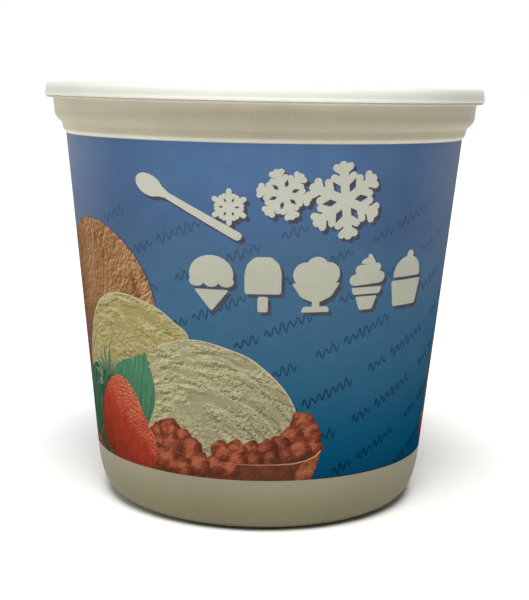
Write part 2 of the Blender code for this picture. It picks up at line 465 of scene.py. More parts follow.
def tub_finish():
    finish = Finish("warm_ivory_plastic", Specular_IOR_Level=0.1)
    place = finish.position()
    height = finish.along(place, "Z")
    cloud = finish.noise(place, scale=30, detail=3)
    speck = finish.noise(place, scale=900, detail=3, roughness=0.7)
    # The ivory ramp holds painted shade towards the foot and under the lid's rim, and painted light along
    # the lip.
    stops = [(z / IVORY_SPAN, colour(*tint)) for z, tint in IVORY_AND_PAINTED_SHADE]
    tone_and_shade = finish.ramp(finish.span(height, 0, IVORY_SPAN), stops)
    uneven = finish.math("MULTIPLY", finish.math("ADD", cloud, speck), 0.5)
    mottle = finish.ramp(uneven, [(0.35, (0.88, 0.88, 0.89, 1)), (0.65, grey(1.04))])
    # The collar just under the lid's rim takes a share of the painted flank shade.
    high = finish.math("MULTIPLY", finish.span(height, FLANK_SHADE_LOW_Z, FLANK_SHADE_FULL_Z), COLLAR_SHARE)
    finish.feed("Base Color", finish.times(finish.times(tone_and_shade, mottle), finish.flank_shade(place), high))
    finish.roughness(cloud, 0.44, 0.56)
    finish.bump(speck, 0.00002, 0.4)
    return finish


def lid_finish():
    finish = Finish("white_plastic", Specular_IOR_Level=0.12)
    place = finish.position()
    cloud = finish.noise(place, scale=18, detail=3)
    height = finish.span(finish.along(place, "Z"), RIM_LOW_Z, RIM_HIGH_Z)
    # Painted light and shade over the height of the rim.
    tone_and_shade = finish.ramp(height, [(part, colour(*tint)) for part, tint in LID_WHITE_AND_SHADE])
    mottle = finish.ramp(cloud, [(0.35, grey(0.97)), (0.65, grey(1))])
    # Painted flank shade, on the outer part of the rim only.
    radius = finish.length(finish.vector("MULTIPLY", place, (1, 1, 0)))
    outside = finish.span(radius, RIM_INNER_R + RIM_INNER_FILLET, SKIRT_TOP_R - RIM_INNER_FILLET)
    finish.feed("Base Color", finish.times(finish.times(tone_and_shade, mottle), finish.flank_shade(place), outside))
    finish.roughness(cloud, 0.32, 0.44)
    finish.bump(finish.noise(place, scale=1500, detail=2), 0.00002, 0.5)
    return finish


# --- Printed label: outlines, in millimetres

LOOP_STEPS, CORNER_STEPS, LUMP_STEPS = 7, 4, 40


def ellipse(x, z, across, up=None, count=32):
    up = across if up is None else up
    turns = [2 * math.pi * i / count for i in range(count)]
    return [(x + across * math.cos(t), z + up * math.sin(t)) for t in turns]


def lump(x, z, across, up, rough, grain, seed):
    """An ellipse with an uneven edge."""
    points = []
    for px, pz in ellipse(x, z, across, up, LUMP_STEPS):
        u, v = (px - x) / across, (pz - z) / across
        grown = 1 + rough * noise.noise((grain * u, grain * v, seed))
        points.append((x + (px - x) * grown, z + (pz - z) * grown))
    return points


def loop(knots):
    """A closed smooth curve through the knots."""
    points = []
    for i in range(len(knots)):
        a, b, c, d = (Vector(knots[(i + k) % len(knots)]) for k in (-1, 0, 1, 2))
        bend, twist = 2 * a - 5 * b + 4 * c - d, 3 * b - a - 3 * c + d
        for t in (j / LOOP_STEPS for j in range(LOOP_STEPS)):
            points.append(tuple((2 * b + (c - a) * t + bend * t * t + twist * t ** 3) / 2))
    return points


def polygon(corners, radius):
    """A polygon with rounded corners."""
    points = []
    for i, corner in enumerate(corners):
        here = Vector(corner)
        before = (Vector(corners[i - 1]) - here).normalized()
        after = (Vector(corners[(i + 1) % len(corners)]) - here).normalized()
        start, end = here + before * radius, here + after * radius
        for t in (j / CORNER_STEPS for j in range(CORNER_STEPS + 1)):
            points.append(tuple(start * (1 - t) ** 2 + here * 2 * t * (1 - t) + end * t * t))
    return points


def ribbon(path, widths, cap=5):
    """The outline of a line drawn along a path, with round ends."""
    path = [Vector(p) for p in path]
    last = len(path) - 1
    sides = []
    for i in range(last + 1):
        ahead = (path[min(i + 1, last)] - path[max(i - 1, 0)]).normalized()
        width = widths[0] + (widths[1] - widths[0]) * i / last
        sides.append(Vector((ahead.y, -ahead.x)) * (width / 2))
    right = [p + s for p, s in zip(path, sides)]
    left = [p - s for p, s in zip(path, sides)]
    turns = [Matrix.Rotation(math.pi * i / cap, 2) for i in range(1, cap)]
    far_end = [path[-1] + turn @ sides[-1] for turn in turns]
    near_end = [path[0] + turn @ -sides[0] for turn in turns]
    return [tuple(p) for p in right + far_end + left[::-1] + near_end]


def roughened(outline, size, grain):
    """The outline with each point moved a little along its normal."""
    points = []
    for i, (x, z) in enumerate(outline):
        along = (Vector(outline[(i + 1) % len(outline)]) - Vector(outline[i - 1])).normalized()
        by = size * noise.noise((grain * x, grain * z, 0))
        points.append((x + by * along.y, z - by * along.x))
    return points


def split_up(outline, longest):
    """The outline with more points on its long sides."""
    points = []
    for i, start in enumerate(outline):
        end = outline[(i + 1) % len(outline)]
        steps = max(1, math.ceil(math.dist(start, end) / longest))
        points += [tuple(a + (b - a) * j / steps for a, b in zip(start, end)) for j in range(steps)]
    return points


def ragged(outline, longest, size, grain):
    return roughened(split_up(outline, longest), size, grain)


def moved(outline, x, z, turn=0):
    c, s = math.cos(math.radians(turn)), math.sin(math.radians(turn))
    return [(x + c * u - s * v, z + s * u + c * v) for u, v in outline]


def area(outline):
    """Positive where the outline runs anticlockwise."""
    return 0.5 * sum(a[0] * b[1] - b[0] * a[1] for a, b in zip(outline, outline[1:] + outline[:1]))


# --- Printed label: pictures

# Emblems: the row of ices, the snowflakes as place, turn, radius, width of an arm and pairs of
# branches, and the spoon as place and turn. Each has a shade to its lower right.
ICES_Z, ICES_X = 109.6, (-20.5, 0.6, 22.4, 45.5, 68.2)
SNOWFLAKES = (
    (32.5, 144, 8, 16.2, 3.7, 2), (8, 146.5, 20, 10.8, 2.8, 2), (-13, 141, 0, 7.6, 2.2, 1),
)
SPOON_PLACE = -46.5, 148.5, -25
SHADE_MOVE = 1.5, -1.6

# Wavy lines: the steps along a row and between rows, the rise of a row over half the label, a
# place that the first row passes, the starts of eight rows, and the height that they end below
WAVE_STEP, WAVE_ROW, WAVE_RISE, WAVE_START = 43.8, 19.1, 114.6, (42.7, 29.8)
WAVE_STARTS = 35.8, 0.2, 6.8, 24.3, -10.7, 2.7, 8, -12.3
WAVES_TOP = 138
# The two lines of each step as start, humps and height, and the length, lean, unevenness and
# number of points of a hump
WAVE_PARTS = (0, 3, 1.6), (13.5, 7, 1.75)
HUMP, HUMP_LEAN, HUMP_UNEVEN, HUMP_POINTS = 3.5, 0.3, 0.32, 10
STROKE_WIDTHS = 0.85, 0.65

# Painted shade: a dark line along the label's lower edge.
EDGE_SHADE_WIDTH = 0.7  # width of the dark line along the label's lower edge


def snowflake(radius, width, branches):
    """Six plain arms with pairs of side branches."""
    arm = [ribbon([(0, 0), (radius - width / 2, 0)], (width, width))]
    for pair in range(branches):
        root, reach = radius * (0.42 + 0.3 * pair), radius * (0.3 - 0.09 * pair)
        for side in (-1, 1):
            tip = root + reach * 0.62, side * reach * 0.82
            arm.append(ribbon([(root, 0), tip], (width * 0.85, width * 0.85)))
    return [moved(shape, 0, 0, 60 * i + 30) for i in range(6) for shape in arm]


def both_sides(*right):
    """The points of the right side, from below, and the same mirrored."""
    return [*right, *[(-x, z) for x, z in right[::-1]]]


def scoop_cone():
    scoop = [(x, max(z, 0.3)) for x, z in ellipse(0, 3.6, 9.2, 8, 40)]
    drips = [ellipse(x, 0.6, 3.2, 2.2) for x in (-6.2, 0, 6.2)]
    cone = polygon([(-7.4, -2.7), (0, -11.8), (7.4, -2.7)], 1.2)
    return [scoop, *drips, cone]


def lolly():
    ice = both_sides((7.4, -4), (7.4, 4.6), (6.4, 8.4), (3.2, 11.4))
    return [polygon(ice, 1.2), polygon(both_sides((2.1, -11.5), (2.1, -5)), 1)]


def sundae():
    places = (-4.7, 4.2, 5.1), (4.7, 4.2, 5.1), (0, 6.8, 4.8), (0, 2.6, 4)
    bowl = polygon(both_sides((2, -7.2), (6.4, -5.2), (10.2, 0.6)), 1.1)
    stem, base = both_sides((1.6, -9.8), (1.6, -6.6)), both_sides((6.2, -11.6), (5.2, -9.2))
    return [*[ellipse(*place) for place in places], bowl, stem, polygon(base, 0.8)]


def swirl_cone():
    low = ribbon([(-6.3, 1.2), (6.3, 2)], (4.9, 4.9))
    high = ribbon([(-4.2, 5.3), (4.2, 5.9)], (4.3, 4.3))
    tip = [(-3.2, 8), (3, 8), (2.2, 10), (0.5, 12), (-0.3, 11.8), (-0.9, 10.5), (-2.9, 9.6)]
    cup = polygon(both_sides((6.6, -5), (7.6, -2)), 0.9)
    return [low, high, loop(tip), cup, polygon(both_sides((3.2, -11.6), (5.4, -5.9)), 0.9)]


def tub_and_dome():
    dome = [(x, max(z, 0.8)) for x, z in ellipse(0, 2, 8.7, 7.7, 40)]
    cup = polygon(both_sides((7.6, -11.6), (9.8, -0.5)), 1.2)
    return [dome, ellipse(0.6, 10.1, 2.1), cup]


def spoon():
    """A spoon with its bowl at the origin and its handle along +x."""
    neck = polygon([(3.6, 3), (3.6, -3), (9.5, -1.2), (9.5, 1.2)], 0.8)
    handle = ribbon([(4 + 3.4 * i, -0.012 * (3.4 * i) ** 1.4) for i in range(12)], (2.6, 3.6))
    return [ellipse(0, 0, 6.6, 4.3, count=36), neck, handle]


def emblems():
    """The plain white shapes, each in its place."""
    shapes = []
    for x, ice in zip(ICES_X, (scoop_cone, lolly, sundae, swirl_cone, tub_and_dome)):
        shapes += [moved(shape, x, ICES_Z) for shape in ice()]
    for x, z, turn, *size in SNOWFLAKES:
        shapes += [moved(shape, x, z, turn) for shape in snowflake(*size)]
    return shapes + [moved(shape, *SPOON_PLACE) for shape in spoon()]


def wave(start, humps, high, seed):
    """One wavy line along +x, with uneven humps."""
    path = []
    for i in range(humps * HUMP_POINTS + 1):
        t = i / HUMP_POINTS
        uneven = 1 + HUMP_UNEVEN * math.sin(2.1 * math.floor(t) + seed)
        lift = high * uneven * math.sin(2 * math.pi * t)
        path.append((start + HUMP * t + HUMP_LEAN * lift, lift))
    return ribbon(path, STROKE_WIDTHS, 3)


def waves():
    """Rows of short wavy lines that climb over the blue."""
    climb = WAVE_RISE / TILE_MM
    turn = math.degrees(math.atan(climb))
    shapes = []
    for row in range(-16, 26):
        foot = WAVE_START[1] + WAVE_ROW * row - WAVE_START[0] * climb
        for step in range(-16, 20):
            x = WAVE_STARTS[row % len(WAVE_STARTS)] + WAVE_STEP * step
            z = foot + climb * x
            if LEFT_MM - 40 < x < RIGHT_MM and LOW_MM - 20 < z < WAVES_TOP:
                shapes += [moved(wave(*part, row), x, z, turn) for part in WAVE_PARTS]
    return shapes


def lumps(ink, rough, grain, *places):
    return [(ink, lump(x, z, radius, None, rough, grain, x)) for x, z, radius in places]


def sepals():
    """Narrow green blades round the top of the strawberry: place of the foot, length, direction."""
    blades = (
        (-88, 61, 12, 172), (-87, 63, 12, 146), (-85, 64, 11, 122), (-83, 64, 15, 97), (-80.5, 64, 14, 82),
        (-78, 63, 11, 62), (-90, 58, 9, 200), (-82, 62, 9, 110), (-79, 62, 8, 72))
    for x, z, high, turn in blades:
        blade = [(0, -1.9), (0.5 * high, -1.2), (high, 0), (0.5 * high, 1.2), (0, 1.9)]
        yield "sepal", moved(polygon(blade, 0.3), x, z, turn)


def brown_scoop():
    yield "brown_shade", roughened(ellipse(-85.6, 91.3, 40.6, count=140), 0.5, 0.9)
    yield "brown_ice", roughened(ellipse(-86.5, 91.1, 40.4, count=160), 0.7, 0.9)
    crumb = [
        (-59, 118), (-54.5, 112.6), (-50.8, 106.2), (-48.2, 99), (-47.4, 92), (-51, 91), (-52.6, 98),
        (-54.8, 105), (-57.5, 111.5)]
    yield "pale_crumb", ragged(polygon(crumb, 0.6), 1, 0.9, 0.9)
    for x, high, wide in ((-60.2, 103, 1.6), (-57.4, 110, 2.6), (-54.6, 104, 2.2)):
        streak = ribbon([(x - 1.2, high), (x, high - 6), (x + 0.6, 91)], (0.5 * wide, 1.4 * wide))
        yield "brown_dark", ragged(streak, 0.8, 1.4, 0.6)


def leaves():
    """The leaves behind the strawberry, with two more berries under the left one."""
    left = [(-90, 62), (-104, 62), (-114, 54), (-117, 42), (-112, 31), (-98, 20), (-80, 20)]
    yield "dark_leaf", split_up(loop(left), 2)
    olive = [(-102, 36), (-95, 38), (-90, 30), (-86, 20), (-96, 20), (-101, 27)]
    yield "olive_leaf", ragged(loop(olive), 2, 1.2, 0.3)
    yield "raspberry", lump(-104, 25.4, 5.4, 4.2, 0.2, 3, 3)
    yield "raspberry", lump(-97.2, 24, 3.6, 3, 0.2, 3, 4)
    middle = [(-93, 60), (-87, 66), (-78, 66.5), (-74, 60), (-80, 50), (-94, 50)]
    yield "dark_leaf", ragged(polygon(middle, 1.5), 1, 0.8, 0.6)
    right = [
        (-79, 65.5), (-72, 69.8), (-62.5, 73.4), (-53.4, 76.6), (-51.6, 71), (-49, 64), (-48.4, 56.5),
        (-49.6, 49), (-53, 41.5), (-66, 46)]
    yield "green_leaf", ragged(polygon(right, 1), 0.8, 1.6, 0.8)
    yield from sepals()


def fruit_and_scoops():
    """Scoops and leaves of one half of the label, back to front."""
    yield "pink_ice", roughened(ellipse(-127, 58, 29, 31, 90), 1.2, 0.5)
    yield from lumps(
        "raspberry", 0.2, 3, (-146, 30, 8.5), (-139, 27, 7.5), (-152, 37, 7), (-131, 29, 8),
        (-123, 27, 7), (-115, 29, 7.5), (-107, 26, 6.5), (-99, 25, 5))
    yield from brown_scoop()
    pink = [(-114, 87), (-106, 86), (-101, 83), (-97.6, 78), (-101, 72), (-104, 62), (-114, 60)]
    yield "pink_ice", ragged(loop(pink), 1, 1, 0.5)
    yellow = [
        (-102, 52), (-103.2, 62.4), (-100.7, 71.2), (-91.5, 87.5), (-79.8, 97.3), (-64.8, 100.6),
        (-48.2, 97.3), (-38.2, 91.4), (-31.2, 84.3), (-36, 66), (-70, 50)]
    yield "pale_edge", loop([(x + (0.35 if x > -60 else -0.55), z + 0.55) for x, z in yellow])
    yield "yellow_ice", ragged(loop(yellow), 1, 0.5, 0.9)
    yield from leaves()
    vanilla = [
        (-51, 77), (-41.5, 82), (-26.5, 84.4), (-8.2, 79.5), (1.8, 73), (10.2, 64.5),
        (15.2, 56.2), (16.6, 48.9), (13.5, 41.9), (1.8, 34), (-14.8, 30), (-31.5, 30), (-53.5, 36),
        (-54, 44), (-50.6, 52), (-49, 59.5), (-50, 68)]
    edge = [(x + (0.45 if x > -20 else 0), z + (0.55 if x > -46 else 0)) for x, z in vanilla]
    yield "pale_edge", loop(edge)
    yield "vanilla_ice", ragged(loop(vanilla), 0.9, 0.8, 1)


def berries_and_dish():
    """Berries, the clear dish that holds them and the strawberry in front."""
    rough = 0.28, 1.6
    gap = [
        (-52, 42), (-44, 42), (-36, 40), (-29, 36.5), (-25, 32.5), (-18, 34), (-8, 37), (4, 37),
        (14, 42), (20, 48), (26, 42), (28, 36), (22, 31), (-10, 27), (-48, 20), (-62, 20),
        (-62, 32), (-56, 40)]
    yield "berry_gap", loop(gap)
    yield from lumps(
        "red_berry", *rough, (-48.5, 40, 5.6), (-42.2, 43.6, 6), (-36.2, 41, 5.2), (-50, 36, 6),
        (-31, 36.6, 5.2), (-41, 37, 5.5), (19.8, 49.6, 5.8), (22, 44.4, 6.2), (14.6, 42.2, 5.8),
        (-3.4, 37, 5.2), (-10, 36.6, 5.8), (-16.6, 35.4, 5.8))
    yield from lumps(
        "deep_berry", *rough, (9.4, 39.4, 5.6), (3.4, 37.6, 5.6), (12.6, 35.2, 5), (5.6, 33.6, 5),
        (-2.2, 33, 5))
    yield from lumps("red_berry", *rough, (25, 38.6, 4.6), (19, 37.8, 5.6), (-9.4, 33, 5))
    dish = [
        (-53, 38), (-44, 36.4), (-30, 33.2), (-8, 32.2), (10, 32), (22, 33.4), (28.8, 37.2),
        (28.2, 32.5), (24.9, 24), (24.4, 20), (-53, 20)]
    yield "dark_dish", polygon(dish, 0.8)
    yield from lumps(
        "red_berry", *rough, (-20, 29.8, 5), (-28.8, 30, 6.6), (-44.5, 30, 6.4), (-36.6, 27, 5.6),
        (-12.6, 28.6, 4.6))
    glow = [(20.5, 32.4), (25, 33.8), (28.2, 36.4), (27.6, 32.5), (24.6, 24), (18, 23.5), (17, 28)]
    yield "lit_dish", ragged(polygon(glow, 1), 1, 1.2, 0.5)
    rim = [
        (-50, 37.6), (-44, 36), (-38, 34.5), (-30, 33.2), (-22, 32.3), (-13, 31.8), (-3, 31.6),
        (8, 31.8), (16, 32.1), (22, 33.2), (26.4, 34.9), (28.8, 37.2)]
    yield "rim_line", ribbon(rim, (0.25, 0.6), 3)
    strawberry = [
        (-71.6, 63.8), (-65.6, 61.4), (-61.3, 57), (-57.9, 51), (-54.4, 44.6), (-51, 39), (-49.7, 33),
        (-50.6, 28.5), (-57, 24), (-70, 22.8), (-84.5, 26), (-91.8, 32.1), (-93.5, 38.1),
        (-93.1, 43.3), (-91, 48.5), (-87.1, 54.5), (-82.8, 58.8), (-77.6, 62.4)]
    yield "berry_gap", loop([(x - 0.7, z - 0.2) for x, z in strawberry])
    yield "strawberry", loop(strawberry)


def band(low, high):
    return [(LEFT_MM - 1, low), (RIGHT_MM + 1, low), (RIGHT_MM + 1, high), (LEFT_MM - 1, high)]


def pictures():
    """Every field of the label as (ink, outline, shift of its copy), back to front."""
    shapes = emblems()
    half = [*fruit_and_scoops(), *berries_and_dish()]
    half += [("slate_shade", moved(shape, *SHADE_MOVE)) for shape in shapes]
    half += [("soft_white", shape) for shape in shapes]
    fields = [("blue_ground", band(LOW_MM - 1, HIGH_MM + 1), 0)]
    fields += [("deep_blue_lines", shape, 0) for shape in waves()]
    # Painted shade along the label's lower edge.
    fields += [("painted_edge_shade", band(LOW_MM - 1, LOW_MM + EDGE_SHADE_WIDTH), 0)]
    for ink, outline in half:
        low, high = min(x for x, z in outline), max(x for x, z in outline)
        for shift in (-TILE_MM, 0, TILE_MM, 2 * TILE_MM):
            if low + shift < RIGHT_MM and high + shift > LEFT_MM:
                fields.append((ink, moved(outline, shift, 0), shift))
    return [(ink, outline if area(outline) > 0 else outline[::-1], shift) for ink, outline, shift in fields]


# --- Printed label: inks

LIGHT_ON_LABEL, PALEST = 0.95, 0.9
RING_MM = 50  # the distance from the middle of a scoop at which its streaks have their true size

# Blue at a few heights, and its strength there as the ground and in the wavy lines. Its deepening
# downwards is partly the print's own gradient and partly painted shade of light falling off down the wall.
BLUES = (
    (26, (8, 60, 88)), (34, (8, 69, 99)), (48, (22, 77, 107)), (62, (40, 86, 114)),
    (76, (51, 92, 120)), (95, (62, 97, 125)), (120, (69, 99, 129)), (140, (71, 99, 135)),
    (163, (78, 108, 147)),
)
GROUND_STRENGTHS = 1, 1, 0.98, 1, 1, 1, 1, 1.04, 1.06
WAVE_STRENGTHS = 0.34, 0.36, 0.4, 0.43, 0.48, 0.55, 0.66, 0.78, 0.9

# Over the upper part of the blue: painted shade towards the flanks with painted light at the
# front, and a painted sheen, a pale reflection at the upper sides. The heights are where each
# starts and where it is full.
BLUE_FLANK_SHADE = (
    (0, (0.92, 0.82, 0.83, 1)), (0.7, (1, 1, 0.98, 1)), (1, (1.08, 1.03, 1.04, 1)),
)
BLUE_FLANK_SHADE_Z = 112, 132
PAINTED_SHEEN_TINT, PAINTED_SHEEN_Z = (138, 145, 158), (88, 160)


def seen(red, green, blue, more=1):
    """The base colour that looks like this display colour on the lit wall."""
    parts = [min(PALEST, c * more / LIGHT_ON_LABEL) for c in colour(red, green, blue)[:3]]
    return (*parts, 1)


class Ink(Finish):
    """A matt print ink with the light grain of the printed film. Its fields know two things about
    each point: art is the place in the picture in millimetres, and spot the place within the
    field, from -1 to 1."""

    def __init__(self, name):
        super().__init__(name, Specular_IOR_Level=0)
        self.place, self.spot = (
            self.node("Attribute", {}, "Vector", attribute_name=known) for known in ("art", "spot"))
        self.x, self.z = (self.along(self.place, axis) for axis in "XY")
        self.across, self.up = (self.along(self.spot, axis) for axis in "XY")

    def tones(self, level, stops):
        """A ramp of display colours."""
        return self.ramp(level, [(part, seen(*tint)) for part, tint in stops])

    def done(self, tint, relief=None):
        dots = self.noise(self.place, scale=1.5, detail=3, roughness=0.8)
        grain = self.ramp(dots, [(0.3, (0.80, 0.82, 0.82, 1)), (0.7, (1.14, 1.12, 1.12, 1))])
        self.feed("Base Color", self.times(tint, grain))
        self.roughness(self.noise(self.place, scale=0.03, detail=2), 0.44, 0.56)
        self.bump(dots if relief is None else relief, 0.00001, 0.4)
        return self.material

    def away(self, across=0, up=0):
        """Distance from a place within the field."""
        return self.length(self.vector("SUBTRACT", self.spot, (across, up, 0)))

    def rings(self, centre):
        """Place round a centre: the length along the arc, and the distance."""
        offset = self.vector("SUBTRACT", self.place, (*centre, 0))
        angle = self.math("ARCTAN2", self.along(offset, "X"), self.along(offset, "Y"))
        values = {"X": self.math("MULTIPLY", angle, RING_MM), "Y": self.length(offset)}
        return self.node("CombineXYZ", values)

    def blend(self, *parts):
        """Sum of values, each times its factor."""
        total = 0
        for value, factor in parts:
            total = self.node("Math", {0: value, 1: factor, 2: total}, operation="MULTIPLY_ADD")
        return total

    def lit(self, place, step, strength, pattern, *values):
        """A pattern of heights lit from the side that the step points to: 0.5 where it is level."""
        ahead = self.vector("ADD", place, (*step, 0))
        slope = self.math("SUBTRACT", pattern(place, *values), pattern(ahead, *values))
        return self.math("ADD", self.math("MULTIPLY", slope, strength), 0.5)

    def faded(self, tint, across, up, least, full=0.7):
        """The tint, darker away from the side of the field that across and up point to."""
        toward = self.span(self.blend((self.across, across), (self.up, up)), -1, 1)
        return self.times(tint, self.ramp(toward, [(0, grey(least)), (full, grey(1))]))

    def stretched(self, vector, counts, detail, roughness, distortion):
        """Noise with its two sizes as counts per millimetre."""
        scaled = self.vector("MULTIPLY", vector, (*counts, 1))
        return self.noise(scaled, 1, detail, roughness, distortion)


def blue_ink(name, strengths):
    """Blue, deeper downwards, with painted flank shade and a painted sheen at the upper sides."""
    ink = Ink(name)
    stops = []
    for (z, tint), strength in zip(BLUES, strengths):
        stops.append(((z - LOW_MM) / (HIGH_MM - LOW_MM), seen(*tint, strength)))
    ground = ink.ramp(ink.span(ink.z, LOW_MM, HIGH_MM), stops)
    cloud = ink.noise(ink.place, 0.09, 4, 0.6)
    mottle = ink.ramp(cloud, [(0.3, (0.93, 0.95, 0.97, 1)), (0.7, (1.07, 1.05, 1.03, 1))])
    ground = ink.times(ground, mottle)
    # Painted shade towards the flanks over the upper blue, and a painted sheen at the upper sides.
    side = ink.math("COSINE", ink.math("MULTIPLY", ink.x, 2 * math.pi / TILE_MM))
    flank_shade = ink.ramp(ink.span(side, 0.2, 1), BLUE_FLANK_SHADE)
    ground = ink.times(ground, flank_shade, ink.span(ink.z, *BLUE_FLANK_SHADE_Z))
    sideways = ink.math("POWER", ink.span(side, 0.1, -1.5), 1.2)
    painted_sheen_mask = ink.math("MULTIPLY", sideways, ink.span(ink.z, *PAINTED_SHEEN_Z))
    return ink.done(ink.mix(painted_sheen_mask, ground, seen(*PAINTED_SHEEN_TINT)))


def flat_ink(name, low, high):
    ink = Ink(name)
    return ink.done(ink.tones(ink.noise(ink.place, 0.3, 3), [(0.3, low), (0.7, high)]))


def ice_ink(name, pits, middle, crests, dull, centre, streaks, fade):
    """Scooped ice: ridges over the scoop, smooth dull patches, broken cracks and crumbs."""
    ink = Ink(name)
    along, across = streaks
    arched = ink.rings(centre)
    torn = ink.lit(arched, (0, 1.2), 2.2, ink.stretched, streaks, 5, 0.6, 1.4)
    crumbs = ink.lit(ink.place, (-0.2, 0.4), 1.5, ink.noise, 0.6, 3, 0.8)
    height = ink.stretched(arched, (1.1 * along, 1.3 * across), 5, 0.7, 1.5)
    crack = ink.span(ink.math("ABSOLUTE", ink.math("SUBTRACT", height, 0.5)), 0.03, 0)
    broken = ink.span(ink.noise(ink.place, 0.14, 3, 0.6), 0.48, 0.54)
    patches = ink.stretched(arched, (0.9 * along, 0.9 * across), 4, 0.64, 1)
    smooth = ink.span(patches, 0.51, 0.57)
    rough = ink.blend((smooth, -0.7), (1, 1))
    grit = ink.math("MULTIPLY", ink.math("SUBTRACT", crumbs, 0.5), rough)
    dark = ink.math("MULTIPLY", crack, broken)
    level = ink.blend((torn, 0.42), (grit, 0.95), (dark, -0.2), (1, 0.29))
    tint = ink.tones(level, [(0.34, pits), (0.45, middle), (0.55, middle), (0.66, crests)])
    tint = ink.mix(ink.math("MULTIPLY", smooth, 0.6), tint, seen(*dull))
    return ink.done(ink.faded(tint, *fade), level)


def crumb_ink(name, stops, centre, streaks, fade):
    """Nutty ice: coarse crumbs, a little drawn out over the scoop."""
    ink = Ink(name)
    arched = ink.rings(centre)
    torn = ink.lit(arched, (-0.5, 0.3), 1.7, ink.stretched, streaks, 4, 0.65, 1.2)
    crumbs = ink.lit(ink.place, (-0.5, 0.7), 1.5, ink.noise, 0.42, 4, 0.85)
    broad = ink.noise(ink.place, 0.07, 5, 0.65)
    level = ink.blend((torn, 0.4), (crumbs, 0.35), (broad, 0.25))
    return ink.done(ink.faded(ink.tones(level, stops), *fade), level)


def leaf_ink(name, dark, middle, light, turn):
    """Stripes along the leaf, which rises by turn degrees."""
    ink = Ink(name)
    values = {"Vector": ink.place, "Angle": -math.radians(turn)}
    level = ink.node("VectorRotate", values, rotation_type="Z_AXIS")
    stripes = ink.stretched(level, (0.06, 0.75), 3, 0.6, 0.3)
    tint = ink.tones(stripes, [(0.32, dark), (0.5, middle), (0.68, light)])
    return ink.done(ink.faded(tint, 0.1, 0.8, 0.5), stripes)


def strawberry_ink():
    """Red that is lighter above, with speckles on the lit side and faint seeds."""
    ink = Ink("strawberry")
    flesh = ink.math("SUBTRACT", ink.noise(ink.place, 0.22, 3), 0.5)
    tall = ink.span(ink.blend((ink.up, 0.66), (ink.across, 0.34), (flesh, 0.8)), -1, 1)
    reds = (0.05, (96, 38, 28)), (0.3, (124, 46, 32)), (0.55, (149, 55, 38)), (0.85, (158, 72, 51))
    tint = ink.tones(tall, reds)
    speckle = ink.lit(ink.place, (0.25, 0.5), 1.5, ink.noise, 0.75, 3, 0.75)
    bright = ink.span(speckle, 0.52, 0.68)
    near_light = ink.span(ink.blend((tall, 1), (ink.across, 0.12)), 0.50, 0.86)
    tint = ink.mix(ink.math("MULTIPLY", bright, near_light), tint, seen(208, 152, 116))
    seeds = ink.cells(ink.vector("MULTIPLY", ink.place, (0.36, 0.3, 1)), 1, 0.7)
    faint = ink.math("MULTIPLY", ink.span(seeds, 0.2, 0.08), 0.25)
    return ink.done(ink.mix(faint, tint, seen(196, 104, 64)), speckle)


def berry_ink(name, dark, middle, light, scale=0.26, round_off=0.115):
    """Soft fruit: lit from above, darker towards the rim of each fruit, with soft small cells."""
    ink = Ink(name)
    cells = ink.lit(ink.place, (-0.5, 0.9), -0.6, ink.cells, scale, 1)
    speckle = ink.lit(ink.place, (-0.2, 0.4), 1.2, ink.noise, 0.6, 4, 0.8)
    flesh = ink.noise(ink.place, 0.2, 5, 0.6)
    shine, rim = ink.span(ink.away(-0.2, 0.3), 0.7, 0), ink.span(ink.away(), 0.45, 1.1)
    level = ink.blend(
        (cells, 0.35), (flesh, 0.5), (speckle, 0.45), (1, -0.155), (ink.up, round_off),
        (ink.across, -0.3 * round_off), (rim, -1.3 * round_off), (shine, 0.5 * round_off))
    return ink.done(ink.tones(level, [(0.34, dark), (0.48, middle), (0.62, light)]), cells)


def white_ink():
    """Soft white of the emblems, a little brighter in the upper row."""
    ink = Ink("soft_white")
    upper, cloud = ink.span(ink.z, 100, 150), ink.noise(ink.place, 0.05, 3)
    level = ink.blend((upper, 1), (cloud, 0.5), (1, -0.25))
    return ink.done(ink.tones(level, [(0.2, (171, 172, 157)), (0.8, (188, 189, 176))]))


def rim_ink():
    """The rim of the clear dish: faint on the left and bright on the right."""
    ink = Ink("rim_line")
    stops = (0, (124, 72, 52)), (0.4, (140, 86, 64)), (0.7, (158, 112, 88)), (1, (182, 146, 116))
    return ink.done(ink.tones(ink.span(ink.x, -50, 28), stops))


